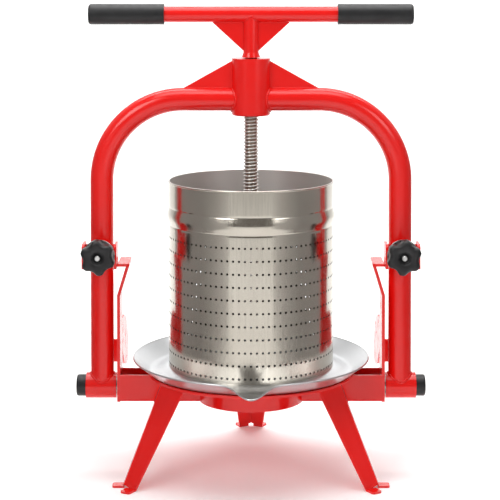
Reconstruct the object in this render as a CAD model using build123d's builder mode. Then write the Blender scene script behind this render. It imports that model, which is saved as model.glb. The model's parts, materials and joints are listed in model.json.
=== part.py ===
from build123d import *
import math
import os

# Basket wine press: a red tripod stand with a tilting tube arch, a T-handled
# press screw, a perforated basket and a juice tray with a pouring lip.
# Millimetres, +Z up, origin on the floor under the screw axis, front is -Y.

os.makedirs("parts", exist_ok=True)

# ---------------------------------------------------------------- dimensions
fit = 0.05                  # radial running clearance of a shaft in its hole

# Tube arch and the hinge line that it leans back about
tube_radius = 16.85
tube_wall = 3.0
arch_half_width = 217.8     # screw axis to the leg of the arch
arch_height = 540.0         # centreline of the straight top run
bend_radius = 118.0
pivot_height = 120.0

# Tripod base
base_radius = 150.0
base_plate_thickness = 4.0
base_underside = 140.0
base_top = base_underside + base_plate_thickness
ring_radius = 77.0
ring_plate = 4.0
channel_bottom = 101.0
channel_depth = 44.0
channel_plate = 3.0
leg_plate = 3.0
leg_top_radius = 147.0      # fold line of a leg, where it meets the base plate
leg_foot_radius = 206.5     # fold line of a leg, near the floor
leg_top_width = 40.0
leg_foot_width = 22.0
leg_fold_half_angle = 60.0
leg_notch = 7.0             # the folded corner stands this far off the floor
toe_length = 14.0
toe_width = 16.0

# Side brackets, saddles and clamp knobs
bracket_inner = 190.0
bracket_plate = 4.5
bracket_front = -22.0
bracket_kink_height = 256.0
strip_depth = 44.0          # as deep as the channel it is welded to
lean_stop_back = 115.0      # rear face of the tab that the leaning arch comes to rest on
lean_stop_low = 126.5
lean_stop_high = 161.0
lean_stop_width = 36.0
lobe_top = 213.0
lobe_root = 170.0           # the hook under the lobe runs out into the strip here
lobe_back = 139.0
lobe_back_height = 148.0
tab_height = 300.0
tab_plate = 4.0
tab_inner = 176.0
saddle_half_width = 25.0
saddle_plate = 4.0
saddle_web_gap = 0.5
saddle_reach = 50.0
saddle_low = 300.0
saddle_high = 335.0
knob_height = 320.0
knob_radius = 25.3
knob_turn = 7.5             # the lobes stand this many degrees round from upright
knob_head = 20.0
knob_boss = 5.0
knob_washer = 3.0
stud_radius = 4.0
stud_hole = 4.5
knob_boss_radius = 14.0
knob_washer_radius = 23.0
nut_half_width = 6.5        # half across the flats of an M8 nut

# Hinge of the arch
sleeve_inner_end = 196.5
sleeve_outer_end = 241.0
sleeve_radius = 18.4
sleeve_bore = 14.5
bush_length = 16.0
bolt_radius = 6.0
hinge_washer = 2.0
bolt_head = 7.5
bolt_hole = 6.25
hinge_hex = 9.5              # half across the flats of an M12 head and nut
hinge_nut = 12.0
cap_length = 14.0
cap_radius = 15.5
cap_wall = 2.5
hinge_washer_radius = 12.5

# Screw, hub and handle
thread_radius = 11.0
thread_root = 8.7
thread_pitch = 5.0
hub_radius = 28.0
hub_bottom = 517.0
hub_top = 600.0
nut_radius = 17.0
nut_bottom = 519.0
nut_top = 594.0
stem_radius = 11.2
stem_bottom = 601.5
bar_height = 664.0
bar_radius = 11.5
bar_half_length = 232.0
grip_radius = 15.0
grip_inner_end = 126.4
grip_outer_end = 236.6

# Press foot that the screw turns in
foot_radius = 114.0
foot_bottom = 165.0
foot_plate = 3.0
foot_rim = 14.0
cup_radius = 22.0
cup_top = 212.0
spindle_radius = 8.0
spindle_groove = 6.0
spindle_bottom = 183.0
thrust_washer_thickness = 3.0
pin_radius = 2.0
pin_height = 198.5
thread_bottom = 215.0

# Juice tray and basket
sheet = 1.2
tray_rim_radius = 171.0
tray_rim_height = 164.4
tray_floor_radius = 146.0
tray_land_radius = 123.0    # raised middle that the basket stands on
tray_land_height = 152.0
spout_reach = 210.0
spout_half_width = 29.0
basket_radius = 120.0
basket_bottom = tray_land_height
basket_top = 421.5
basket_bead_height = 372.0
basket_bead_half = 12.5
basket_bead = 2.0
rim_wire = 1.4              # radius of the wired edge

sides = {"left": -1, "right": 1}


def side_plane(sign, distance):
    """Plane square to the hinge line, facing outwards from the screw axis."""
    return Plane(origin=(sign * distance, 0, pivot_height), x_dir=(0, 1, 0), z_dir=(sign, 0, 0))


def clamp_plane(sign, reach):
    """Plane square to a clamp stud, facing the user, reach in front of the arch."""
    return Plane(origin=(sign * arch_half_width, -reach, knob_height), x_dir=(1, 0, 0), z_dir=(0, -1, 0))


def finish(piece, name):
    """Label a finished piece and write its STEP file."""
    piece.label = name
    export_step(piece, f"parts/{name}.step")


# ----------------------------------------------------------------- tripod
# A leg is a folded plate: two tapered flanges that meet on an outer corner and
# end square to it, so that the corner clears the floor and the two toes bear.
ridge_top = Vector(leg_top_radius, 0, base_underside)
ridge_bottom = Vector(leg_foot_radius, 0, leg_notch)
ridge_up = (ridge_top - ridge_bottom).normalized()
fold = math.radians(leg_fold_half_angle)
flange_dir = Vector(-math.cos(fold), math.sin(fold), 0)
flange_plane = Plane(origin=ridge_bottom, x_dir=flange_dir, z_dir=flange_dir.cross(ridge_up))
toe_point = ridge_bottom + flange_dir * leg_foot_width - ridge_up * (leg_notch / ridge_up.Z)
toe_plane = Plane(origin=toe_point, x_dir=-flange_dir, z_dir=(0, 0, 1))
overrun = 6.0               # trimmed off again level with the base plate
flange_corners = [
    ridge_top + ridge_up * overrun,
    ridge_top + ridge_up * overrun + flange_dir * leg_top_width,
    toe_point,
    ridge_bottom,
]

with BuildPart() as leg:
    with BuildSketch(flange_plane):
        with BuildLine():
            Polyline(*[flange_plane.to_local_coords(corner) for corner in flange_corners], close=True)
        make_face()
    extrude(amount=-leg_plate)
    with BuildSketch(toe_plane) as toe:
        with Locations((toe_width / 2, (toe_length - leg_plate) / 2)):
            Rectangle(toe_width, toe_length + leg_plate)
        fillet(toe.vertices().group_by(Axis.Y)[-1], radius=4)
    extrude(amount=leg_plate)
    mirror(about=Plane.XZ)
    split(bisect_by=Plane.XY.offset(base_underside), keep=Keep.BOTTOM)
    split(bisect_by=Plane.XY, keep=Keep.TOP)
    ridge = leg.edges().filter_by_position(Axis.Y, -0.01, 0.01).sort_by(Axis.X)[-1]
    fillet(ridge, radius=2.5)

for leg_name, azimuth in {"front_left_leg": 210, "front_right_leg": 330, "rear_leg": 90}.items():
    with BuildPart() as placed_leg:
        add(leg.part, rotation=(0, 0, azimuth))
    finish(placed_leg.part, leg_name)

with BuildPart() as base_plate:
    with BuildSketch(Plane.XY.offset(base_underside)):
        Circle(base_radius)
    extrude(amount=base_plate_thickness)
    fillet(base_plate.edges().filter_by(GeomType.CIRCLE), radius=0.8)
finish(base_plate.part, "base_plate")

# The ring that stiffens the base plate is two arcs, welded each side of the channel
for ring_name, sign in {"front_base_ring": -1, "rear_base_ring": 1}.items():
    with BuildPart() as base_ring:
        with BuildSketch(Plane.XY.offset(channel_bottom)):
            Circle(ring_radius)
            Circle(ring_radius - ring_plate, mode=Mode.SUBTRACT)
            with Locations((0, sign * (channel_depth + ring_radius) / 2)):
                Rectangle(2 * ring_radius, ring_radius, mode=Mode.INTERSECT)
        extrude(amount=base_underside - channel_bottom)
    finish(base_ring.part, ring_name)

with BuildPart() as cross_channel:
    with BuildSketch(Plane.YZ.offset(-bracket_inner)) as channel_section:
        with Locations((0, (channel_bottom + base_underside) / 2)):
            Rectangle(channel_depth, base_underside - channel_bottom)
        fillet(channel_section.vertices().group_by(Axis.Y)[0], radius=4)
        with Locations((0, (channel_bottom + channel_plate + base_underside) / 2)):
            Rectangle(
                channel_depth - 2 * channel_plate,
                base_underside - channel_bottom - channel_plate,
                mode=Mode.SUBTRACT,
            )
    extrude(amount=2 * bracket_inner)
finish(cross_channel.part, "cross_channel")

# ------------------------------------------------- side brackets and hinges
for side, sign in sides.items():
    # Laser-cut plate with a hooked rear lobe, whose outward tab stops the leaning arch
    strip_back = bracket_front + strip_depth
    with BuildPart() as bracket:
        with BuildSketch(Plane.YZ.offset(sign * bracket_inner)):
            with BuildLine():
                Polyline(
                    (strip_back, lobe_root),
                    (strip_back, channel_bottom),
                    (bracket_front, channel_bottom),
                    (bracket_front, bracket_kink_height),
                    (strip_back, bracket_kink_height),
                    (strip_back, lobe_top),
                    (46, lobe_top),
                )
                ThreePointArc((46, lobe_top), (106, 190), (lobe_back, lobe_back_height))
                ThreePointArc((lobe_back, lobe_back_height), (133, 131), (lean_stop_back, lean_stop_low))
                ThreePointArc((lean_stop_back, lean_stop_low), (62, 138), (strip_back, lobe_root))
            make_face()
        extrude(amount=sign * bracket_plate)
        with BuildSketch(Plane.XY.offset(lean_stop_low)):
            stop_middle = bracket_inner + lean_stop_width / 2
            with Locations((sign * stop_middle, lean_stop_back - bracket_plate / 2)):
                Rectangle(lean_stop_width, bracket_plate)
        extrude(amount=lean_stop_high - lean_stop_low)
        # Upper strip, kinked inwards to clear the arch
        with BuildSketch(Plane.XZ.offset(-bracket_front)):
            with BuildLine():
                Polyline(
                    (sign * bracket_inner, bracket_kink_height - 2),
                    (sign * bracket_inner, bracket_kink_height),
                    (sign * 176.6, tab_height),
                    (sign * 181.3, tab_height),
                    (sign * (bracket_inner + bracket_plate), bracket_kink_height + 0.6),
                    (sign * (bracket_inner + bracket_plate), bracket_kink_height - 2),
                    close=True,
                )
            make_face()
        extrude(amount=-strip_depth)
        # Flat tab on top, which carries the saddle
        saddle_edge = arch_half_width - saddle_half_width
        with BuildSketch(Plane.XY.offset(tab_height)) as tab:
            with Locations((sign * (tab_inner + saddle_edge) / 2, -1.5)):
                Rectangle(saddle_edge - tab_inner, 57)
            tab_inner_corners = tab.vertices().sort_by(Axis.X, reverse=sign < 0)[0:2]
            fillet(tab_inner_corners, radius=6)
        extrude(amount=tab_plate)
        with BuildSketch(side_plane(sign, bracket_inner)):
            Circle(bolt_hole)
        extrude(amount=bracket_plate, mode=Mode.SUBTRACT)
    finish(bracket.part, f"{side}_bracket")

    # Saddle: a short channel, open to the front, that the arch leans into
    web_back = -(tube_radius + saddle_web_gap)
    with BuildPart() as saddle:
        with BuildSketch(Plane.XY.offset(saddle_low)):
            with Locations((sign * arch_half_width, (web_back - saddle_reach) / 2)):
                Rectangle(2 * saddle_half_width, saddle_reach + web_back)
            with Locations((sign * arch_half_width, (web_back - saddle_plate - saddle_reach) / 2)):
                Rectangle(
                    2 * (saddle_half_width - saddle_plate),
                    saddle_reach + web_back - saddle_plate,
                    mode=Mode.SUBTRACT,
                )
        extrude(amount=saddle_high - saddle_low)
        ear_tips = saddle.edges().filter_by(Axis.X).group_by(Axis.Y)[0].group_by(Axis.Z)[-1]
        fillet(ear_tips, radius=7)
        with Locations((sign * arch_half_width, web_back - saddle_plate / 2, saddle_high)):
            Box(
                2 * (saddle_half_width - saddle_plate),
                saddle_plate,
                8,
                mode=Mode.SUBTRACT,
            )
        with BuildSketch(clamp_plane(sign, 0)):
            Circle(stud_hole)
        extrude(amount=saddle_reach, mode=Mode.SUBTRACT)
    finish(saddle.part, f"{side}_saddle")

    with BuildPart() as sleeve:
        with BuildSketch(side_plane(sign, sleeve_inner_end)):
            Circle(sleeve_radius)
            Circle(sleeve_bore, mode=Mode.SUBTRACT)
        extrude(amount=sleeve_outer_end - sleeve_inner_end)
    finish(sleeve.part, f"{side}_pivot_sleeve")

    with BuildPart() as bushes:
        for bush_start in (sleeve_inner_end, sleeve_outer_end - bush_length):
            with BuildSketch(side_plane(sign, bush_start)):
                Circle(sleeve_bore)
                Circle(bolt_radius + fit, mode=Mode.SUBTRACT)
            extrude(amount=bush_length)
    finish(bushes.part, f"{side}_pivot_bushes")

    with BuildPart() as hinge_washers:
        for washer_start in (bracket_inner + bracket_plate, sleeve_outer_end):
            with BuildSketch(side_plane(sign, washer_start)):
                Circle(hinge_washer_radius)
                Circle(bolt_hole, mode=Mode.SUBTRACT)
            extrude(amount=hinge_washer)
    finish(hinge_washers.part, f"{side}_pivot_washers")

    head_start = sleeve_outer_end + hinge_washer
    bolt_inner_end = bracket_inner - 14
    with BuildPart() as pivot_bolt:
        with BuildSketch(side_plane(sign, bolt_inner_end)):
            Circle(bolt_radius)
        extrude(amount=head_start - bolt_inner_end)
        with BuildSketch(side_plane(sign, head_start)):
            RegularPolygon(radius=hinge_hex, side_count=6, major_radius=False)
        extrude(amount=bolt_head)
        chamfer(pivot_bolt.edges().filter_by(GeomType.CIRCLE).sort_by(Axis.X, reverse=sign > 0)[-1], length=1)
    finish(pivot_bolt.part, f"{side}_pivot_bolt")

    with BuildPart() as pivot_nut:
        with BuildSketch(side_plane(sign, bracket_inner - hinge_nut)):
            RegularPolygon(radius=hinge_hex, side_count=6, major_radius=False)
            Circle(bolt_radius, mode=Mode.SUBTRACT)
        extrude(amount=hinge_nut)
    finish(pivot_nut.part, f"{side}_pivot_nut")

    with BuildPart() as pivot_cap:
        with BuildSketch(side_plane(sign, sleeve_outer_end)):
            Circle(cap_radius)
        extrude(amount=cap_length)
        outer_edge = pivot_cap.edges().filter_by(GeomType.CIRCLE).sort_by(Axis.X, reverse=sign < 0)[-1]
        fillet(outer_edge, radius=3)
        with BuildSketch(side_plane(sign, sleeve_outer_end)):
            Circle(cap_radius - cap_wall)
        extrude(amount=cap_length - cap_wall, mode=Mode.SUBTRACT)
    finish(pivot_cap.part, f"{side}_pivot_cap")

# --------------------------------------------------------- arch and its hub
for side, sign in sides.items():
    with BuildPart() as arch_tube:
        with BuildLine(Plane.XZ) as arch_path:
            arch_foot = (sign * arch_half_width, pivot_height)
            bend_start = (sign * arch_half_width, arch_height - bend_radius)
            arch_leg = Line(arch_foot, bend_start)
            arch_bend = JernArc(arch_leg @ 1, arch_leg % 1, bend_radius, sign * 90)
            Line(arch_bend @ 1, (0, arch_height))
        with BuildSketch(Plane(origin=arch_path.line @ 0, z_dir=(0, 0, 1))):
            Circle(tube_radius)
            Circle(tube_radius - tube_wall, mode=Mode.SUBTRACT)
        sweep(path=arch_path.line)
        # Coped onto the hinge sleeve below and onto the hub at the top
        with BuildSketch(side_plane(sign, sleeve_inner_end - 5)):
            Circle(sleeve_radius)
        extrude(amount=60, mode=Mode.SUBTRACT)
        with BuildSketch(Plane.XY.offset(hub_bottom)):
            Circle(hub_radius)
        extrude(amount=hub_top - hub_bottom, mode=Mode.SUBTRACT)
        with BuildSketch(clamp_plane(sign, 0)):
            Circle(stud_hole)
        extrude(amount=tube_radius + 1, mode=Mode.SUBTRACT)
    coped_tube = arch_tube.solids().sort_by(Axis.Z)[-1]
    finish(coped_tube, f"{side}_arch_tube")

    with BuildPart() as clamp_nut:
        with BuildSketch(clamp_plane(sign, 4.5)):
            RegularPolygon(radius=nut_half_width, side_count=6, major_radius=False)
            Circle(stud_radius + fit, mode=Mode.SUBTRACT)
        extrude(amount=7)
    finish(clamp_nut.part, f"{side}_clamp_nut")

    # Thin web plate between the hub and the top of the tube
    with BuildPart() as hub_gusset:
        with BuildSketch(Plane.XZ):
            with BuildLine():
                Polyline(
                    (sign * 20, hub_top - 3),
                    (sign * hub_radius, hub_top - 4),
                    (sign * 98, arch_height + tube_radius),
                    (sign * 98, arch_height + tube_radius - 3),
                    (sign * 20, arch_height + tube_radius - 3),
                    close=True,
                )
            make_face()
        extrude(amount=2.5, both=True)
        with BuildSketch(Plane.XY.offset(hub_bottom)):
            Circle(hub_radius)
        extrude(amount=hub_top - hub_bottom, mode=Mode.SUBTRACT)
        with BuildSketch(Plane.YZ.offset(-arch_half_width)):
            with Locations((0, arch_height)):
                Circle(tube_radius)
        extrude(amount=2 * arch_half_width, mode=Mode.SUBTRACT)
    finish(hub_gusset.part, f"{side}_hub_gusset")

with BuildPart() as screw_hub:
    with BuildSketch(Plane.XY.offset(hub_bottom)):
        Circle(hub_radius)
    extrude(amount=hub_top - hub_bottom)
    chamfer(screw_hub.edges().group_by(Axis.Z)[0], length=1.5)
    with BuildSketch(Plane.XY.offset(hub_bottom)):
        Circle(nut_radius)
    extrude(amount=nut_top - hub_bottom, mode=Mode.SUBTRACT)
    with BuildSketch(Plane.XY.offset(nut_top)):
        Circle(thread_radius + 1)
    extrude(amount=hub_top - nut_top, mode=Mode.SUBTRACT)
finish(screw_hub.part, "screw_hub")

with BuildPart() as screw_nut:
    with BuildSketch(Plane.XY.offset(nut_bottom)):
        Circle(nut_radius)
        Circle(thread_radius + 0.08, mode=Mode.SUBTRACT)
    extrude(amount=nut_top - nut_bottom)
finish(screw_nut.part, "screw_nut")

# ------------------------------------------------------- screw and T-handle
# The thread is turned as rings of the thread's own depth and pitch.
crest = thread_pitch * 0.36
flank = (thread_pitch - 2 * crest) / 2
turns = int((stem_bottom - 1 - thread_bottom) / thread_pitch)
thread_points = []
for turn in range(turns):
    ring_start = thread_bottom + turn * thread_pitch
    thread_points += [
        (thread_root, ring_start),
        (thread_radius, ring_start + flank),
        (thread_radius, ring_start + flank + crest),
        (thread_root, ring_start + 2 * flank + crest),
    ]
spigot_top = stem_bottom + 38
with BuildPart() as press_screw:
    with BuildSketch(Plane.XZ):
        with BuildLine():
            Polyline(
                (0, spindle_bottom),
                (spindle_radius - 1, spindle_bottom),
                (spindle_radius, spindle_bottom + 1),
                (spindle_radius, pin_height - 2.5),
                (spindle_groove, pin_height - 2.5),
                (spindle_groove, pin_height + 2.5),
                (spindle_radius, pin_height + 2.5),
                (spindle_radius, thread_bottom - 1),
                (thread_root, thread_bottom - 1),
                *thread_points,
                (thread_root, stem_bottom),
                (spindle_radius, stem_bottom),
                (spindle_radius, spigot_top),
                (0, spigot_top),
                close=True,
            )
        make_face()
    revolve(axis=Axis.Z)
finish(press_screw.part, "press_screw")

with BuildPart() as handle_stem:
    with BuildSketch(Plane.XY.offset(stem_bottom)):
        Circle(stem_radius)
    extrude(amount=bar_height - stem_bottom)
    with BuildSketch(Plane.XY.offset(stem_bottom)):
        Circle(stem_radius + 2.3)
    with BuildSketch(Plane.XY.offset(stem_bottom + 7)):
        Circle(stem_radius)
    loft()
    with BuildSketch(Plane.YZ.offset(-stem_radius - 5)):
        with Locations((0, bar_height)):
            Circle(bar_radius)
    extrude(amount=2 * stem_radius + 10, mode=Mode.SUBTRACT)
    with BuildSketch(Plane.XY.offset(stem_bottom)):
        Circle(spindle_radius)
    extrude(amount=spigot_top - stem_bottom, mode=Mode.SUBTRACT)
finish(handle_stem.part, "handle_stem")

with BuildPart() as handle_bar:
    with BuildSketch(Plane.YZ.offset(-bar_half_length)):
        with Locations((0, bar_height)):
            Circle(bar_radius)
            Circle(bar_radius - 2.5, mode=Mode.SUBTRACT)
    extrude(amount=2 * bar_half_length)
finish(handle_bar.part, "handle_bar")

for side, sign in sides.items():
    with BuildPart() as handle_gusset:
        with BuildSketch(Plane.XZ):
            with BuildLine():
                Polyline(
                    (sign * 4, bar_height - 8),
                    (sign * 56, bar_height - 8),
                    (sign * 56, bar_height - bar_radius - 0.4),
                    (sign * stem_radius, bar_height - 53),
                    (sign * 4, bar_height - 53),
                    close=True,
                )
            make_face()
        extrude(amount=2, both=True)
        with BuildSketch(Plane.YZ.offset(-80)):
            with Locations((0, bar_height)):
                Circle(bar_radius)
        extrude(amount=160, mode=Mode.SUBTRACT)
        with BuildSketch(Plane.XY.offset(stem_bottom)):
            Circle(stem_radius)
        extrude(amount=bar_height - stem_bottom, mode=Mode.SUBTRACT)
    finish(handle_gusset.part, f"{side}_handle_gusset")

    with BuildPart() as grip:
        with BuildSketch(Plane.YZ.offset(sign * grip_inner_end)):
            with Locations((0, bar_height)):
                Circle(grip_radius)
        extrude(amount=sign * (grip_outer_end - grip_inner_end))
        grip_rims = grip.edges().filter_by(GeomType.CIRCLE).sort_by(Axis.X, reverse=sign < 0)
        fillet(grip_rims[-1], radius=4)
        with BuildSketch(Plane.YZ.offset(sign * grip_inner_end)):
            with Locations((0, bar_height)):
                Circle(bar_radius)
        extrude(amount=sign * (bar_half_length - grip_inner_end), mode=Mode.SUBTRACT)
    finish(grip.part, f"{side}_handle_grip")

# ------------------------------------------------------------- press foot
foot_floor = foot_bottom + foot_plate
with BuildPart() as press_plate:
    with BuildSketch(Plane.XY.offset(foot_bottom)):
        Circle(foot_radius)
    extrude(amount=foot_rim)
    fillet(press_plate.edges().group_by(Axis.Z)[0], radius=6)
    with BuildSketch(Plane.XY.offset(foot_floor)):
        Circle(foot_radius - foot_plate)
    extrude(amount=foot_rim, mode=Mode.SUBTRACT)
finish(press_plate.part, "press_plate")

with BuildPart() as press_plate_ribs:
    with BuildSketch(Plane.XZ):
        with BuildLine():
            Polyline(
                (cup_radius - 4, foot_floor),
                (foot_radius - 6, foot_floor),
                (foot_radius - 6, foot_floor + 8),
                (cup_radius, foot_floor + 24),
                (cup_radius - 4, foot_floor + 24),
                close=True,
            )
        make_face()
    rib = extrude(amount=2.5, both=True, mode=Mode.PRIVATE)
    with PolarLocations(0, 4, start_angle=45):
        add(rib)
    with BuildSketch(Plane.XY.offset(foot_floor)):
        Circle(cup_radius)
    extrude(amount=30, mode=Mode.SUBTRACT)
finish(press_plate_ribs.part, "press_plate_ribs")

cup_bore_floor = spindle_bottom - thrust_washer_thickness
pin_offset = spindle_groove + pin_radius + fit
pin_centres = [(-pin_offset, pin_height), (pin_offset, pin_height)]
with BuildPart() as swivel_cup:
    with BuildSketch(Plane.XY.offset(foot_floor)):
        Circle(cup_radius)
    extrude(amount=cup_top - foot_floor)
    fillet(swivel_cup.edges().group_by(Axis.Z)[-1], radius=3)
    with BuildSketch(Plane.XY.offset(cup_bore_floor)):
        Circle(spindle_radius + fit)
    extrude(amount=cup_top - cup_bore_floor, mode=Mode.SUBTRACT)
    with BuildSketch(Plane.XZ.offset(-30)):
        with Locations(*pin_centres):
            Circle(pin_radius)
    extrude(amount=60, mode=Mode.SUBTRACT)
finish(swivel_cup.part, "swivel_cup")

with BuildPart() as thrust_washer:
    with BuildSketch(Plane.XY.offset(cup_bore_floor)):
        Circle(spindle_radius)
    extrude(amount=thrust_washer_thickness)
finish(thrust_washer.part, "thrust_washer")

with BuildPart() as swivel_pins:
    with BuildSketch(Plane.XZ.offset(-19)):
        with Locations(*pin_centres):
            Circle(pin_radius)
    extrude(amount=38)
finish(swivel_pins.part, "swivel_pins")

# ------------------------------------------------------------ clamp knobs
washer_reach = saddle_reach
knob_back = washer_reach + knob_washer
knob_face = knob_back + knob_boss + knob_head
for side, sign in sides.items():
    with BuildPart() as star_knob:
        with BuildSketch(clamp_plane(sign, knob_back)):
            Circle(knob_boss_radius)
        extrude(amount=knob_boss)
        with BuildSketch(clamp_plane(sign, knob_back + knob_boss)) as lobes:
            Circle(knob_radius)
            with PolarLocations(knob_radius + 3.4, 6, start_angle=-sign * knob_turn):
                Circle(7.6, mode=Mode.SUBTRACT)
            fillet(lobes.vertices(), radius=4.5)
        extrude(amount=knob_head)
        knob_rims = star_knob.faces().filter_by(Axis.Y).sort_by(Axis.Y)[0].edges()
        fillet(knob_rims, radius=3)
        with BuildSketch(clamp_plane(sign, knob_face - 4)):
            Circle(8)
        extrude(amount=5, mode=Mode.SUBTRACT)
        with BuildSketch(clamp_plane(sign, knob_back)):
            Circle(stud_radius)
        extrude(amount=knob_boss + knob_head, mode=Mode.SUBTRACT)
    finish(star_knob.part, f"{side}_star_knob")

    with BuildPart() as knob_stud:
        with BuildSketch(clamp_plane(sign, 0)):
            Circle(stud_radius)
        extrude(amount=knob_face - 1.5)
        chamfer(knob_stud.edges().filter_by(GeomType.CIRCLE), length=0.8)
    finish(knob_stud.part, f"{side}_knob_stud")

    with BuildPart() as clamp_washer:
        with BuildSketch(clamp_plane(sign, washer_reach)):
            Circle(knob_washer_radius)
            Circle(stud_radius + 0.3, mode=Mode.SUBTRACT)
        extrude(amount=knob_washer)
    finish(clamp_washer.part, f"{side}_knob_washer")

# ---------------------------------------------------------- tray and basket
# Spun tray: raised middle, gutter, sloping wall, rolled rim and a pouring lip
tray_outside = [
    (0, tray_land_height - sheet),
    (tray_land_radius, tray_land_height - sheet),
    (tray_floor_radius - 4, base_top),
    (tray_floor_radius, base_top),
    (tray_rim_radius, tray_rim_height - sheet),
]
tray_inside = [
    (tray_rim_radius, tray_rim_height),
    (tray_rim_radius - sheet, tray_rim_height),
    (tray_floor_radius - 0.6, base_top + sheet),
    (tray_floor_radius - 3.6, base_top + sheet),
    (tray_land_radius + 0.2, tray_land_height),
    (0, tray_land_height),
]
spout_stations = [
    # distance in front of the axis, half width, lip height, keel height
    (155.0, spout_half_width, tray_rim_height + 0.4, base_top + 1.0),
    (tray_rim_radius + 6, spout_half_width * 0.72, tray_rim_height - 3.2, base_top + 1.4),
    (spout_reach, 6.0, base_top + 7.5, base_top + 3.0),
]


def spout_section(reach, half_width, lip, keel, inset):
    """V-shaped section of the pouring lip, inset by the sheet for the inner face."""
    with BuildSketch(Plane.XZ.offset(reach)) as section:
        with BuildLine():
            Polyline(
                (-half_width + inset, lip + inset),
                (half_width - inset, lip + inset),
                (inset * 0.4 + 1.5, keel + inset),
                (-inset * 0.4 - 1.5, keel + inset),
                close=True,
            )
        make_face()
    return section.sketch


spout_outer = [spout_section(*station, 0) for station in spout_stations]
spout_inner = [spout_section(*station, sheet) for station in spout_stations]

with BuildPart() as juice_tray:
    with BuildSketch(Plane.XZ):
        with BuildLine():
            Polyline(*tray_outside, *tray_inside, close=True)
        make_face()
    revolve(axis=Axis.Z)
    loft(spout_outer, ruled=True)
    loft(spout_inner, ruled=True, mode=Mode.SUBTRACT)
finish(juice_tray.part, "juice_tray")

# Bottomless basket of rolled sheet, with a broad bead below a wired rim
bead_low = basket_bead_height - basket_bead_half
bead_high = basket_bead_height + basket_bead_half
with BuildPart() as basket:
    with BuildSketch(Plane.XZ):
        with BuildLine():
            for face_radius in (basket_radius, basket_radius - sheet):
                Line((face_radius, basket_bottom), (face_radius, bead_low))
                ThreePointArc(
                    (face_radius, bead_low),
                    (face_radius + basket_bead, basket_bead_height),
                    (face_radius, bead_high),
                )
                Line((face_radius, bead_high), (face_radius, basket_top))
            Line((basket_radius, basket_bottom), (basket_radius - sheet, basket_bottom))
            Line((basket_radius, basket_top), (basket_radius - sheet, basket_top))
        make_face()
    revolve(axis=Axis.Z)
    with BuildSketch(Plane.XZ):
        with Locations((basket_radius, basket_top - rim_wire)):
            Circle(rim_wire)
    revolve(axis=Axis.Z)
finish(basket.part, "basket")
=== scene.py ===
import json
import math
import bmesh
import bpy
import numpy as np
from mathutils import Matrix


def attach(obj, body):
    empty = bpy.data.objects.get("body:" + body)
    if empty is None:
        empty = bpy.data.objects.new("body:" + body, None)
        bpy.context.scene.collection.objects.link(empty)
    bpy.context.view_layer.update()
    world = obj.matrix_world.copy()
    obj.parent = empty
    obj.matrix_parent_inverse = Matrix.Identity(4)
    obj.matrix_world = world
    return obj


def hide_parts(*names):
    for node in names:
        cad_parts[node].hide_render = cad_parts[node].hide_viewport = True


# Basket wine press: the frame comes from the CAD model, the finishes and the fine shapes are made here.
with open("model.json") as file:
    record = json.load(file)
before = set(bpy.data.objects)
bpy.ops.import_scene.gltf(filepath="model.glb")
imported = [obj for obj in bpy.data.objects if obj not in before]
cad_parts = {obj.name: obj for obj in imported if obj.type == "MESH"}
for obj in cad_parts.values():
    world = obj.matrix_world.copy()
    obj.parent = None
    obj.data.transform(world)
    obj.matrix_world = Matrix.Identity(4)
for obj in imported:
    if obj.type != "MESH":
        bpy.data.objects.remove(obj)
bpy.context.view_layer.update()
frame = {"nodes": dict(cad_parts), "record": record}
nodes = frame["nodes"]
print("frame loaded:", len(nodes), "parts")

sides = {"left": -1, "right": 1}


def makeMesh(name, points, faces, smooth=True):
    # points is an n by 3 array in metres, faces a list of index arrays with 3 or 4 columns
    mesh = bpy.data.meshes.new(name)
    allFaces = [tuple(row) for block in faces for row in np.asarray(block).tolist()]
    mesh.from_pydata(np.asarray(points, float).tolist(), [], allFaces)
    mesh.polygons.foreach_set("use_smooth", np.full(len(mesh.polygons), smooth))
    mesh.update()
    piece = bpy.data.objects.new(name, mesh)
    bpy.context.scene.collection.objects.link(piece)
    return piece


def gridFaces(rows, columns, wrapRows=False, wrapColumns=False, flip=False):
    # quads between neighbouring rows and columns of a grid, closed round where asked
    r = np.arange(rows if wrapRows else rows - 1)
    c = np.arange(columns if wrapColumns else columns - 1)
    i, j = np.meshgrid(r, c, indexing="ij")
    k, l = (i + 1) % rows, (j + 1) % columns
    quads = np.stack([i * columns + j, i * columns + l, k * columns + l, k * columns + j], -1).reshape(-1, 4)
    return quads[:, ::-1] if flip else quads


def outwards(piece):
    # turn every face of a closed piece to point out of it
    work = bmesh.new()
    work.from_mesh(piece.data)
    bmesh.ops.remove_doubles(work, verts=work.verts, dist=1e-7)
    bmesh.ops.recalc_face_normals(work, faces=work.faces)
    work.to_mesh(piece.data)
    work.free()
    return piece


def harden(piece, angle=32):
    # make the sheet's thickness part of the mesh, then shade smoothly except across sharp edges
    held = bpy.context.evaluated_depsgraph_get()
    final = bpy.data.meshes.new_from_object(piece.evaluated_get(held))
    piece.modifiers.clear()
    piece.data = final
    final.set_sharp_from_angle(angle=math.radians(angle))


def place(piece, body, material, replaced=()):
    # say what the piece moves with, what it is finished in and which plain part it stands for
    piece.data.materials.append(material)
    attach(piece, body)
    if replaced:
        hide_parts(*replaced)
    return piece


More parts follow.
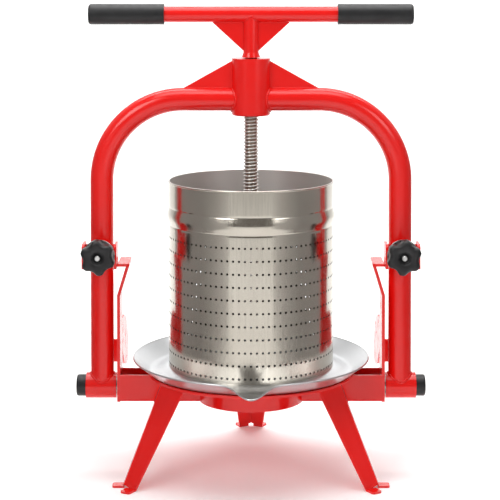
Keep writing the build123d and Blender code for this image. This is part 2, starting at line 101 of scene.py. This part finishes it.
def bead(name, path, radius, ripple, closed):
    # weld bead: a round section carried along a path,
    # its radius rippled as radius * (1 + ripple * sin of distance)
    path = np.asarray(path, float)
    ahead = np.roll(path, -1, 0) - np.roll(path, 1, 0) if closed else np.gradient(path, axis=0)
    ahead /= np.linalg.norm(ahead, axis=1)[:, None]
    guide = np.where(np.abs(ahead[:, 2:]) > 0.9, [[1.0, 0, 0]], [[0, 0, 1.0]])
    across = np.cross(ahead, guide)
    across /= np.linalg.norm(across, axis=1)[:, None]
    up = np.cross(across, ahead)
    step = np.linalg.norm(np.diff(path, axis=0, prepend=path[:1]), axis=1)
    size = radius * (1 + ripple * np.sin(np.cumsum(step) * 2 * math.pi / 0.0026))
    turn = np.linspace(0, 2 * math.pi, 8, endpoint=False)
    ring = across[:, None] * np.cos(turn)[None, :, None] + up[:, None] * np.sin(turn)[None, :, None]
    if not closed:
        size[[0, -1]] *= 0.45
    points = (path[:, None] + ring * size[:, None, None]).reshape(-1, 3)
    faces = [gridFaces(len(path), 8, closed, True)]
    piece = makeMesh(name, points, faces)
    if not closed:
        work = bmesh.new()
        work.from_mesh(piece.data)
        bmesh.ops.holes_fill(work, edges=[e for e in work.edges if e.is_boundary])
        work.to_mesh(piece.data)
        work.free()
    return outwards(piece)


def shaderTree(name, metallic, coat=0.0, coatRoughness=0.1):
    material = bpy.data.materials.new(name)
    material.use_nodes = True
    tree = material.node_tree
    shader = tree.nodes["Principled BSDF"]
    shader.inputs["Metallic"].default_value = metallic
    shader.inputs["Coat Weight"].default_value = coat
    shader.inputs["Coat Roughness"].default_value = coatRoughness
    coords = tree.nodes.new("ShaderNodeTexCoord")
    return material, tree, shader, coords.outputs["Object"]


def noiseOf(tree, coords, scale, detail=4.0, stretch=(1, 1, 1)):
    mapping = tree.nodes.new("ShaderNodeMapping")
    mapping.inputs["Scale"].default_value = stretch
    tree.links.new(coords, mapping.inputs["Vector"])
    noise = tree.nodes.new("ShaderNodeTexNoise")
    noise.inputs["Scale"].default_value = scale
    noise.inputs["Detail"].default_value = detail
    tree.links.new(mapping.outputs["Vector"], noise.inputs["Vector"])
    return noise.outputs["Fac"]


def ramp(tree, value, stops):
    # stops is a list of (position, colour)
    node = tree.nodes.new("ShaderNodeValToRGB")
    elements = node.color_ramp.elements
    for element, (position, colour) in zip(elements, stops[:2]):
        element.position, element.color = position, (*colour, 1)
    for position, colour in stops[2:]:
        elements.new(position).color = (*colour, 1)
    tree.links.new(value, node.inputs["Fac"])
    return node.outputs["Color"]


def spread(tree, value, low, high, fromLow=0.3, fromHigh=0.7):
    node = tree.nodes.new("ShaderNodeMapRange")
    for key, number in {"From Min": fromLow, "From Max": fromHigh, "To Min": low, "To Max": high}.items():
        node.inputs[key].default_value = number
    tree.links.new(value, node.inputs["Value"])
    return node.outputs["Result"]


def bumps(tree, shader, value, height, strength=1.0, before=None):
    node = tree.nodes.new("ShaderNodeBump")
    node.inputs["Distance"].default_value = height
    node.inputs["Strength"].default_value = strength
    tree.links.new(value, node.inputs["Height"])
    if before is not None:
        tree.links.new(before, node.inputs["Normal"])
    tree.links.new(node.outputs["Normal"], shader.inputs["Normal"])
    return node.outputs["Normal"]


finishSettings = {
    "red": {"deep": (0.79, 0.006, 0.004), "bright": (0.85, 0.008, 0.006), "peelScale": 520, "peel": 0.00006,
            "waveScale": 170, "wave": 0.00008,
            "smooth": 0.17, "rough": 0.27, "sheen": 0.45},
    # basket: the inside colours are painted shade, near black low down where the holes are and pale above
    "basket": {"dark": (0.47, 0.435, 0.375), "light": (0.56, 0.525, 0.46), "smooth": 0.13, "rough": 0.24,
               "insideShade": (0.05, 0.045, 0.04), "matt": (0.80, 0.78, 0.75), "mattness": 0.48, "shadeTop": 0.352},
    "thread": {"root": (0.30, 0.22, 0.17), "flank": (0.72, 0.69, 0.65), "crest": (0.90, 0.88, 0.85),
               "rootRadius": 0.0087, "crestRadius": 0.0110, "smooth": 0.26, "rough": 0.42},
    "tray": {"dark": (0.64, 0.65, 0.66), "light": (0.70, 0.71, 0.72), "smooth": 0.28, "rough": 0.36},
    "black": {"deep": (0.004, 0.004, 0.005), "pale": (0.010, 0.010, 0.011), "smooth": 0.38, "rough": 0.52},
}


def redEnamel():
    # enamel: broad colour drift, orange-peel bump of two sizes, thin clear gloss
    s = finishSettings["red"]
    material, tree, shader, coords = shaderTree("redEnamel", 0.0, 0.10, 0.10)
    shader.inputs["IOR"].default_value = 1.5
    shader.inputs["Specular IOR Level"].default_value = s["sheen"]
    drift = noiseOf(tree, coords, 9, 3)
    tree.links.new(ramp(tree, drift, [(0.3, s["deep"]), (0.7, s["bright"])]), shader.inputs["Base Color"])
    fine = noiseOf(tree, coords, s["peelScale"], 2)
    worn = spread(tree, noiseOf(tree, coords, 60, 4), s["smooth"], s["rough"])
    tree.links.new(worn, shader.inputs["Roughness"])
    first = bumps(tree, shader, noiseOf(tree, coords, s["waveScale"], 2), s["wave"], 0.5)
    bumps(tree, shader, fine, s["peel"], 0.8, first)
    return material


def insideOf(tree, coords):
    # 1 on faces turned towards the upright axis or across it, 0 on faces turned away from it
    flat = tree.nodes.new("ShaderNodeVectorMath")
    flat.operation = "MULTIPLY"
    flat.inputs[1].default_value = (1, 1, 0)
    tree.links.new(coords, flat.inputs[0])
    outward = tree.nodes.new("ShaderNodeVectorMath")
    outward.operation = "NORMALIZE"
    tree.links.new(flat.outputs["Vector"], outward.inputs[0])
    facing = tree.nodes.new("ShaderNodeVectorMath")
    facing.operation = "DOT_PRODUCT"
    tree.links.new(outward.outputs["Vector"], facing.inputs[0])
    tree.links.new(tree.nodes.new("ShaderNodeNewGeometry").outputs["Normal"], facing.inputs[1])
    return spread(tree, facing.outputs["Value"], 1, 0, 0.45, 0.6)


def mixed(tree, share, first, second, kind="RGBA"):
    # first where share is 0, second where it is 1
    node = tree.nodes.new("ShaderNodeMix")
    node.data_type = kind
    pair = [socket for socket in node.inputs if socket.type == ("RGBA" if kind == "RGBA" else "VALUE")][-2:]
    tree.links.new(share, node.inputs["Factor"])
    for socket, source in zip(pair, (first, second)):
        if hasattr(source, "is_linked"):
            tree.links.new(source, socket)
        else:
            socket.default_value = source
    return [socket for socket in node.outputs if socket.type == pair[0].type][0]


def basketSteel():
    # outside drawn and bright; inside matt, pale at the top and painted dark below it as shade where the
    # holes are
    s = finishSettings["basket"]
    material, tree, shader, coords = shaderTree("basketSteel", 1.0)
    cloud = ramp(tree, noiseOf(tree, coords, 6, 3), [(0.3, s["dark"]), (0.7, s["light"])])
    lines = noiseOf(tree, coords, 420, 3, (1, 1, 0.04))
    inside = insideOf(tree, coords)
    split = tree.nodes.new("ShaderNodeSeparateXYZ")
    tree.links.new(coords, split.inputs["Vector"])
    # painted shade: inner faces and hole walls go near black below the top row of holes, pale matt steel
    # above
    level = spread(tree, split.outputs["Z"], 0, 1, s["shadeTop"] - 0.006, s["shadeTop"] + 0.02)
    shadedInside = ramp(tree, level, [(0.0, s["insideShade"]), (1.0, s["matt"])])
    tree.links.new(mixed(tree, inside, cloud, shadedInside), shader.inputs["Base Color"])
    polish = spread(tree, lines, s["smooth"], s["rough"])
    tree.links.new(mixed(tree, inside, polish, s["mattness"], "FLOAT"), shader.inputs["Roughness"])
    bumps(tree, shader, lines, 0.000010, 0.5)
    return material


def rolledSteel(name, key, stretch, grainScale):
    # rolled or spun sheet: fine drawn lines in one direction, cloudy tint and cloudy roughness
    s = finishSettings[key]
    material, tree, shader, coords = shaderTree(name, 1.0)
    cloud = noiseOf(tree, coords, 7, 3)
    tree.links.new(ramp(tree, cloud, [(0.3, s["dark"]), (0.7, s["light"])]), shader.inputs["Base Color"])
    lines = noiseOf(tree, coords, grainScale, 3, stretch)
    tree.links.new(spread(tree, lines, s["smooth"], s["rough"]), shader.inputs["Roughness"])
    bumps(tree, shader, lines, 0.000005, 0.5)
    return material


def turnedSteel():
    # thread: bright crests and dark brown roots, told apart by the distance from the screw's axis
    s = finishSettings["thread"]
    material, tree, shader, coords = shaderTree("turnedSteel", 1.0)
    split = tree.nodes.new("ShaderNodeSeparateXYZ")
    tree.links.new(coords, split.inputs["Vector"])
    flat = tree.nodes.new("ShaderNodeCombineXYZ")
    tree.links.new(split.outputs["X"], flat.inputs["X"])
    tree.links.new(split.outputs["Y"], flat.inputs["Y"])
    length = tree.nodes.new("ShaderNodeVectorMath")
    length.operation = "LENGTH"
    tree.links.new(flat.outputs["Vector"], length.inputs[0])
    depth = spread(tree, length.outputs["Value"], 0, 1, s["rootRadius"], s["crestRadius"])
    tint = ramp(tree, depth, [(0.05, s["root"]), (0.6, s["flank"]), (1.0, s["crest"])])
    tree.links.new(tint, shader.inputs["Base Color"])
    polish = spread(tree, noiseOf(tree, coords, 300, 3), s["smooth"], s["rough"])
    tree.links.new(polish, shader.inputs["Roughness"])
    bumps(tree, shader, noiseOf(tree, coords, 900, 2), 0.00002, 0.4)
    return material


def plainMetal(name, dark, light, low, high):
    # plated or cast metal: cloudy tint, fine grain
    material, tree, shader, coords = shaderTree(name, 1.0)
    tint = ramp(tree, noiseOf(tree, coords, 90, 4), [(0.3, dark), (0.7, light)])
    tree.links.new(tint, shader.inputs["Base Color"])
    tree.links.new(spread(tree, noiseOf(tree, coords, 260, 4), low, high), shader.inputs["Roughness"])
    bumps(tree, shader, noiseOf(tree, coords, 700, 3), 0.00003, 0.5)
    return material


def blackMoulding(name, grain, height):
    # moulded rubber or plastic: very dark, finely grained, scuffed pale in places
    s = finishSettings["black"]
    material, tree, shader, coords = shaderTree(name, 0.0)
    tint = ramp(tree, noiseOf(tree, coords, 40, 5), [(0.35, s["deep"]), (0.75, s["pale"])])
    tree.links.new(tint, shader.inputs["Base Color"])
    scuffed = spread(tree, noiseOf(tree, coords, 120, 4), s["smooth"], s["rough"])
    tree.links.new(scuffed, shader.inputs["Roughness"])
    bumps(tree, shader, noiseOf(tree, coords, grain, 3), height, 0.6)
    return material


finishes = {
    "red_paint": redEnamel(),
    "basket_steel": basketSteel(),
    "tray_steel": rolledSteel("spunSteel", "tray", (1, 1, 1), 260),
    "foot_steel": rolledSteel("footSteel", "tray", (1, 1, 1), 320),
    "screw_steel": turnedSteel(),
    "zinc_steel": plainMetal("zincPlate", (0.50, 0.50, 0.49), (0.68, 0.68, 0.67), 0.22, 0.38),
    "bronze": plainMetal("bronzeCasting", (0.42, 0.26, 0.11), (0.62, 0.42, 0.20), 0.26, 0.42),
    "grip_rubber": blackMoulding("gripRubber", 1500, 0.00006),
    "knob_plastic": blackMoulding("knobPlastic", 1100, 0.00004),
}
for entry in frame["record"]["subparts"]:
    part = nodes[entry["node"]]
    for holder in part.material_slots:
        holder.material = finishes[entry["material_slot"]]
print("finishes on", len(nodes), "parts")


basketSettings = {"radius": 0.120, "bottom": 0.152, "top": 0.4215, "sheet": 0.0012, "holesRound": 90,
                  "rows": 11, "firstRow": 0.1591, "rowPitch": 0.0183, "holeRadius": 0.0017,
                  "beadHeight": 0.3720, "beadHalf": 0.0125, "bead": 0.0021, "wire": 0.0014}


def basketRadius(z):
    # wall + bead * (half of one plus the cosine of the distance from its middle) ** 0.75,
    # less a slight crease each side
    s = basketSettings
    t = np.clip((z - s["beadHeight"]) / s["beadHalf"], -1, 1)
    crease = 0.0004 * np.exp(-((np.abs(z - s["beadHeight"]) - s["beadHalf"]) / 0.0013) ** 2)
    return s["radius"] + s["bead"] * (0.5 + 0.5 * np.cos(math.pi * t)) ** 0.75 - crease


def makeRim():
    # wired edge: a round wire carried round the top of the wall
    s = basketSettings
    turn = np.linspace(0, 2 * math.pi, 240, endpoint=False)
    path = np.stack([s["radius"] * np.cos(turn), s["radius"] * np.sin(turn),
                     np.full(240, s["top"] - s["wire"] * 0.4)], 1)
    place(bead("basketRim", path, s["wire"], 0.0, True), "basket", finishes["basket_steel"])


def makeBasket():
    # unrolled, the wall is plain bands and rows of square cells; a cell joins 12 points on its border
    # to the 12 corners of its hole, and the sheet is then rolled up with basketRadius
    s = basketSettings
    cell = 2 * math.pi / s["holesRound"]
    half = cell * s["radius"] / 2
    side = np.linspace(-1, 1, 4)[:3]
    square = np.concatenate([
        np.stack([side, -np.ones(3)], 1), np.stack([np.ones(3), side], 1),
        np.stack([-side, np.ones(3)], 1), np.stack([-np.ones(3), -side], 1)])
    turn = np.arctan2(square[:, 1], square[:, 0])
    hole = np.stack([np.cos(turn), np.sin(turn)], 1) * s["holeRadius"]
    rowHeights = s["firstRow"] + s["rowPitch"] * np.arange(s["rows"])
    rowLow = rowHeights - half
    rowLow[0] = max(rowLow[0], s["bottom"] + 0.0008)
    middle = (np.arange(s["holesRound"]) + 0.5) * cell
    border = np.repeat(square[None], s["rows"], 0) * half
    # the lowest cells are cut short so that they end on the sheet
    lower = border[..., 1] / half * (rowHeights - rowLow)[:, None]
    border[..., 1] = np.where(border[..., 1] < 0, lower, border[..., 1])
    outer = border[:, None] + np.zeros((1, s["holesRound"], 1, 1))
    inner = np.broadcast_to(hole, outer.shape)
    both = np.stack([outer, inner], 3).copy()
    both[..., 0] = both[..., 0] / s["radius"] + middle[None, :, None, None]
    both[..., 1] += rowHeights[:, None, None, None]
    flat = [both.reshape(-1, 2)]
    first = (np.arange(s["rows"] * s["holesRound"]) * 24)[:, None]
    a = np.arange(12)[None]
    b = (a + 1) % 12
    corners = [first + 2 * a, first + 2 * b, first + 2 * b + 1, first + 2 * a + 1]
    quads = [np.stack(corners, -1).reshape(-1, 4)]
    count = len(flat[0])
    angles = np.arange(s["holesRound"] * 3) * cell / 3
    edges = [(s["bottom"], rowLow[0], 2)]
    edges += [(rowHeights[i] + half, rowLow[i + 1], 3) for i in range(s["rows"] - 1)]
    edges += [(rowHeights[-1] + half, s["top"], 96)]
    for low, high, number in edges:
        heights = np.linspace(low, high, number)
        u, v = np.meshgrid(angles, heights)
        flat.append(np.stack([u, v], -1).reshape(-1, 2))
        quads.append(gridFaces(number, len(angles), False, True) + count)
        count += number * len(angles)
    flat = np.concatenate(flat)
    r = basketRadius(flat[:, 1])
    points = np.stack([r * np.cos(flat[:, 0]), r * np.sin(flat[:, 0]), flat[:, 1]], 1)
    piece = makeMesh("basketShell", points, quads)
    work = bmesh.new()
    work.from_mesh(piece.data)
    bmesh.ops.remove_doubles(work, verts=work.verts, dist=2e-6)
    work.to_mesh(piece.data)
    work.free()
    wall = piece.modifiers.new("sheet", "SOLIDIFY")
    wall.thickness = s["sheet"]
    wall.offset = -1
    harden(piece)
    return place(piece, "basket", finishes["basket_steel"], ["basket"])


makeBasket()
makeRim()
print("basket made")


traySettings = {"rim": 0.171, "rimHeight": 0.1644, "floor": 0.146, "land": 0.123, "landHeight": 0.152,
                "base": 0.144, "sheet": 0.0012, "lipReach": 0.039, "lipDrop": 0.0085, "lipSpread": 0.125,
                "roll": 0.0008, "rollWidth": 0.0013, "segments": 360}


def makeTray():
    # profile rings from the middle out; round the lip the wall and rim swell outwards and dip by a bell
    # curve of the angle, bell = exp(-(angle / spread) ^ 2), which gives the pointed, S-sided pouring lip
    s = traySettings
    floorTop = s["base"] + s["sheet"]
    inside = np.array([[0.02, s["landHeight"]], [0.06, s["landHeight"]], [0.10, s["landHeight"]],
                       [s["land"] - 0.003, s["landHeight"]], [s["land"], s["landHeight"] - 0.0006],
                       [s["land"] + 0.006, s["landHeight"] - 0.003], [s["floor"] - 0.010, floorTop + 0.0012],
                       [s["floor"] - 0.005, floorTop], [s["floor"] - 0.001, floorTop + 0.0001]])
    slope = np.linspace(0, 1, 16)[1:]
    wall = np.stack([s["floor"] + (s["rim"] - s["floor"]) * slope,
                     floorTop + (s["rimHeight"] - floorTop) * slope ** 1.12], 1)
    turnOut = np.linspace(0, math.pi, 7)[1:]
    rollHeight = s["rimHeight"] + s["roll"] * np.sin(turnOut) - s["roll"] * (1 - np.cos(turnOut))
    roll = np.stack([s["rim"] + s["rollWidth"] * (1 - np.cos(turnOut)) * 0.5, rollHeight], 1)
    profile = np.concatenate([inside, wall, roll])
    share = np.concatenate([np.zeros(len(inside)), slope, np.ones(len(roll))])
    angle = np.linspace(-math.pi, math.pi, s["segments"], endpoint=False)
    bell = np.exp(-(angle / s["lipSpread"]) ** 2)
    radius = profile[:, :1] + s["lipReach"] * share[:, None] ** 1.2 * bell[None]
    height = profile[:, 1:] - s["lipDrop"] * share[:, None] ** 1.5 * bell[None]
    around = angle - math.pi / 2
    points = np.stack([radius * np.cos(around), radius * np.sin(around), height], -1)
    points = np.concatenate([points.reshape(-1, 3), [[0, 0, s["landHeight"]]]])
    columns = np.arange(s["segments"])
    fan = np.stack([np.full(s["segments"], len(points) - 1), columns, (columns + 1) % s["segments"]], 1)
    piece = makeMesh("trayPan", points, [gridFaces(len(profile), s["segments"], False, True, True), fan])
    sheetWall = piece.modifiers.new("sheet", "SOLIDIFY")
    sheetWall.thickness = s["sheet"]
    sheetWall.offset = -1
    harden(piece, 50)
    return place(piece, "frame", finishes["tray_steel"], ["juice_tray"])


makeTray()
print("tray made")


screwSettings = {"crest": 0.0110, "root": 0.0087, "pitch": 0.0050, "low": 0.215, "high": 0.6015,
                 "spindle": 0.0080, "spindleLow": 0.183, "spigotTop": 0.6395, "groove": 0.0060,
                 "pinHeight": 0.1985, "perTurn": 12, "around": 64}


def makeScrew():
    # distance from the axis = root + depth * rounded wave of (height / pitch - turn), a right-hand thread,
    # run out to plain shaft at both ends
    s = screwSettings
    number = int((s["high"] - s["low"]) / s["pitch"] * s["perTurn"])
    z = np.linspace(s["low"], s["high"], number)
    turn = np.linspace(0, 2 * math.pi, s["around"], endpoint=False)
    phase = 2 * math.pi * (z[:, None] / s["pitch"] - turn[None] / (2 * math.pi))
    wave = 0.5 + 0.5 * np.tanh(1.6 * np.cos(phase)) / math.tanh(1.6)
    runOut = np.clip(np.minimum(z - s["low"], s["high"] - z) / 0.003, 0, 1)[:, None]
    radius = s["root"] + (s["crest"] - s["root"]) * wave * runOut
    ends = [(s["spindleLow"], s["spindle"] - 0.001), (s["spindleLow"] + 0.001, s["spindle"]),
            (s["pinHeight"] - 0.0025, s["spindle"]), (s["pinHeight"] - 0.0025, s["groove"]),
            (s["pinHeight"] + 0.0025, s["groove"]), (s["pinHeight"] + 0.0025, s["spindle"]),
            (s["low"] - 0.001, s["spindle"]), (s["low"] - 0.0006, s["root"])]
    below = np.array(ends)
    above = np.array([(s["high"] + 0.0001, s["spindle"]), (s["spigotTop"], s["spindle"])])
    plain = [np.repeat(part[:, 1:], s["around"], 1) for part in (below, above)]
    rings = np.concatenate([plain[0], radius, plain[1]])
    heights = np.concatenate([below[:, 0], z, above[:, 0]])
    levels = np.repeat(heights[:, None], s["around"], 1)
    points = np.stack([rings * np.cos(turn), rings * np.sin(turn), levels], -1)
    points = np.concatenate([points.reshape(-1, 3), [[0, 0, heights[0]]], [[0, 0, heights[-1]]]])
    c = np.arange(s["around"])
    d = (c + 1) % s["around"]
    last = (len(heights) - 1) * s["around"]
    lowFan = np.stack([np.full(len(c), len(points) - 2), d, c], 1)
    highFan = np.stack([np.full(len(c), len(points) - 1), last + c, last + d], 1)
    wall = gridFaces(len(heights), s["around"], False, True)
    piece = makeMesh("threadedScrew", points, [wall, lowFan, highFan])
    return place(outwards(piece), "screw", finishes["screw_steel"], ["press_screw"])


makeScrew()
print("screw made")


knobSettings = {"centre": 0.2178, "height": 0.320, "back": 0.053, "boss": 0.005, "head": 0.020,
                "bore": 0.0041, "radius": 0.0253, "lobe": 0.0022, "turned": 7.5, "backRound": 0.0025,
                "faceRound": 0.006, "segments": 144}


def makeKnob(side, sign):
    # a closed section turned round the stud: the further out, the more its radius follows six lobes,
    # lobes = -tanh(1.1 * cos(6 * angle)), turned a little from upright
    s = knobSettings
    face = s["back"] + s["boss"] + s["head"]
    edge = s["radius"]
    bossBack, headBack = s["back"], s["back"] + s["boss"]
    quarter = np.linspace(0, math.pi / 2, 7)
    small, large = s["backRound"], s["faceRound"]
    section = [[s["bore"], bossBack], [0.0130, bossBack], [0.0138, bossBack + 0.0008],
               [0.0140, headBack - 0.0004], [0.0150, headBack], [edge - 0.004, headBack]]
    section += [[edge - small + small * math.sin(q), headBack + small - small * math.cos(q)] for q in quarter]
    section += [[edge - large + large * math.cos(q), face - large + large * math.sin(q)] for q in quarter]
    section += [[0.0150, face], [0.0105, face - 0.0006], [0.0086, face - 0.0014],
                [0.0080, face - 0.0030], [0.0076, face - 0.0040], [s["bore"], face - 0.0040]]
    section = np.array(section)
    angle = np.linspace(0, 2 * math.pi, s["segments"], endpoint=False)
    lobes = -np.tanh(1.1 * np.cos(6 * (angle + sign * math.radians(s["turned"])))) / math.tanh(1.1)
    weight = np.clip((section[:, 0] - 0.0135) / 0.009, 0, 1)[:, None]
    radius = section[:, :1] + weight * (s["lobe"] * (lobes - 1))[None]
    forward = np.repeat(-section[:, 1:], s["segments"], 1)
    points = np.stack([sign * s["centre"] + radius * np.cos(angle), forward,
                       s["height"] + radius * np.sin(angle)], -1).reshape(-1, 3)
    piece = makeMesh(side + "StarGrip", points, [gridFaces(len(section), s["segments"], True, True)])
    body, node = side + "_knob", side + "_star_knob"
    return place(outwards(piece), body, finishes["knob_plastic"], [node])


for side, sign in sides.items():
    makeKnob(side, sign)
print("knobs made")


weldSettings = {"tube": 0.01685, "sleeve": 0.0184, "hub": 0.028, "legX": 0.2178, "pivot": 0.120,
                "arch": 0.540, "bar": 0.664, "barRadius": 0.0115, "stem": 0.0112, "size": 0.0017,
                "gussetSize": 0.0011, "barSize": 0.0010, "stemSize": 0.0013, "ripple": 0.13,
                "gussetRun": (0.031, 0.094), "gussetFace": 0.0030, "gussetSink": 0.0004,
                "barRun": (0.014, 0.053), "barFace": 0.0026, "barLift": 0.0001}


def makeWelds(side, sign):
    # a round seam lies where one tube's surface meets another's, found as the root of the second radius
    # squared less the offset squared; the gussets' seams are straight
    s = weldSettings
    turn = np.linspace(0, 2 * math.pi, 120, endpoint=False)
    paint = finishes["red_paint"]
    y = s["tube"] * np.sin(turn)
    onSleeve = np.stack([sign * s["legX"] + s["tube"] * np.cos(turn), y,
                         s["pivot"] + np.sqrt(s["sleeve"] ** 2 - y ** 2)], 1)
    seam = bead(side + "SleeveWeld", onSleeve, s["size"], s["ripple"], True)
    place(seam, "frame", paint)
    onHub = np.stack([sign * np.sqrt(s["hub"] ** 2 - y ** 2), y, s["arch"] + s["tube"] * np.cos(turn)], 1)
    place(bead(side + "HubWeld", onHub, s["size"] * 1.15, s["ripple"], True), "frame", paint)
    along = np.linspace(*s["gussetRun"], 60)
    barAlong = np.linspace(*s["barRun"], 40)
    for face in (-1, 1):
        seamHeight = np.full(60, s["arch"] + s["tube"] - s["gussetSink"])
        underGusset = np.stack([sign * along, np.full(60, face * s["gussetFace"]), seamHeight], 1)
        name = side + ("Front" if face < 0 else "Back") + "GussetWeld"
        place(bead(name, underGusset, s["gussetSize"], s["ripple"], False), "frame", paint)
        barSeam = np.stack([sign * barAlong, np.full(40, face * s["barFace"]),
                            np.full(40, s["bar"] - s["barRadius"] + s["barLift"])], 1)
        barName = side + ("Front" if face < 0 else "Back") + "BarWeld"
        place(bead(barName, barSeam, s["barSize"], s["ripple"], False), "screw", paint)


def makeStemWeld():
    # stem against bar, followed round the stem
    s = weldSettings
    turn = np.linspace(0, 2 * math.pi, 100, endpoint=False)
    y = s["stem"] * np.sin(turn)
    path = np.stack([s["stem"] * np.cos(turn), y, s["bar"] - np.sqrt(s["barRadius"] ** 2 - y ** 2)], 1)
    seam = bead("stemWeld", path, s["stemSize"], s["ripple"], True)
    place(seam, "screw", finishes["red_paint"])


for side, sign in sides.items():
    makeWelds(side, sign)
makeStemWeld()
print("welds made")


studioSettings = {"floorTint": (0.94, 0.94, 0.94), "floorGlow": 0.15,
                  "front": (0.22, 0.21, 0.20), "above": (0.80, 0.80, 0.80),
                  "key": 26, "fill": 15, "top": 34, "rear": 70,
                  "flag": {"x": 0.52, "near": -0.95, "far": 0.32, "top": 0.62, "pale": 0.72, "tint": 0.30}}


def makeBackdrop():
    # floor that curves up behind: straight, a quarter circle, then straight again
    curve = np.linspace(0, math.pi / 2, 16)
    profile = [(-5.0, 0.0), (2.0, 0.0)]
    profile += [(2.0 + 1.5 * math.sin(q), 1.5 - 1.5 * math.cos(q)) for q in curve[1:]] + [(3.5, 5.0)]
    across = np.array([-6.0, 6.0])
    points = np.array([[x, y, z] for y, z in profile for x in across])
    piece = makeMesh("studioFloor", points, [gridFaces(len(profile), 2, flip=True)])
    material, tree, shader, coords = shaderTree("floorPaper", 0.0)
    tint = studioSettings["floorTint"]
    shades = [(0.0, tuple(0.985 * c for c in tint)), (1.0, tint)]
    tree.links.new(ramp(tree, noiseOf(tree, coords, 3, 2), shades), shader.inputs["Base Color"])
    shader.inputs["Roughness"].default_value = 0.9
    shader.inputs["Emission Color"].default_value = (1, 1, 1, 1)
    shader.inputs["Emission Strength"].default_value = studioSettings["floorGlow"]
    piece.data.materials.append(material)


def makeFlag(side, sign):
    # grey card standing at the side, pale at its near end,
    # which the curved steel mirrors as its darker flanks
    s = studioSettings["flag"]
    points = [(sign * s["x"], y, z) for z in (0.002, s["top"]) for y in (s["near"], s["far"])]
    card = makeMesh(side + "Flag", points, [[[0, 1, 3, 2] if sign < 0 else [2, 3, 1, 0]]], False)
    material, tree, shader, coords = shaderTree(side + "Card", 0.0)
    split = tree.nodes.new("ShaderNodeSeparateXYZ")
    tree.links.new(coords, split.inputs["Vector"])
    along = spread(tree, split.outputs["Y"], 0, 1, s["near"], s["far"])
    shades = [(0.0, (s["pale"],) * 3), (0.55, (s["tint"],) * 3), (1.0, (s["tint"],) * 3)]
    tree.links.new(ramp(tree, along, shades), shader.inputs["Base Color"])
    shader.inputs["Roughness"].default_value = 0.95
    card.data.materials.append(material)


def makeLight(name, spot, aim, size, power):
    lamp = bpy.data.lights.new(name, "AREA")
    lamp.shape, lamp.size, lamp.size_y, lamp.energy = "RECTANGLE", size[0], size[1], power
    holder = bpy.data.objects.new(name, lamp)
    holder.location = spot
    away = np.array(spot) - np.array(aim)
    flat = math.hypot(away[0], away[1])
    holder.rotation_euler = (math.atan2(flat, away[2]), 0, math.atan2(away[0], -away[1]))
    bpy.context.scene.collection.objects.link(holder)


makeBackdrop()
for side, sign in sides.items():
    makeFlag(side, sign)
makeLight("keyPanel", (-1.5, -2.0, 1.9), (0, 0, 0.3), (1.2, 1.2), studioSettings["key"])
makeLight("fillPanel", (1.7, -1.8, 1.3), (0, 0, 0.3), (1.0, 1.5), studioSettings["fill"])
makeLight("topPanel", (0, -0.2, 2.4), (0, 0, 0.3), (1.8, 1.8), studioSettings["top"])
makeLight("rearPanel", (0, 1.0, 2.6), (0, 3.0, 0.6), (3.0, 1.0), studioSettings["rear"])
world = bpy.data.worlds.new("studioWorld")
world.use_nodes = True
worldTree = world.node_tree
# dim room behind the camera, lighter overhead and behind the object, by the direction looked in
direction = worldTree.nodes.new("ShaderNodeTexCoord")
parts = worldTree.nodes.new("ShaderNodeSeparateXYZ")
worldTree.links.new(direction.outputs["Generated"], parts.inputs["Vector"])
level = spread(worldTree, parts.outputs["Y"], 0, 1, -0.35, 0.5)
shade = ramp(worldTree, level, [(0.0, studioSettings["front"]), (1.0, studioSettings["above"])])
worldTree.links.new(shade, worldTree.nodes["Background"].inputs["Color"])
bpy.context.scene.world = world
bpy.context.scene.view_settings.view_transform = "Standard"

cameraSettings = {"place": (0, -2.3223, 0.7383), "pitch": 1.78, "lens": 114.87, "shift": (-0.002, -0.4744)}
camera = bpy.data.cameras.new("viewCamera")
camera.lens = cameraSettings["lens"]
camera.shift_x, camera.shift_y = cameraSettings["shift"]
cameraHolder = bpy.data.objects.new("viewCamera", camera)
cameraHolder.location = cameraSettings["place"]
cameraHolder.rotation_euler = (math.radians(90 - cameraSettings["pitch"]), 0, 0)
bpy.context.scene.collection.objects.link(cameraHolder)
bpy.context.scene.camera = cameraHolder
print("studio ready")
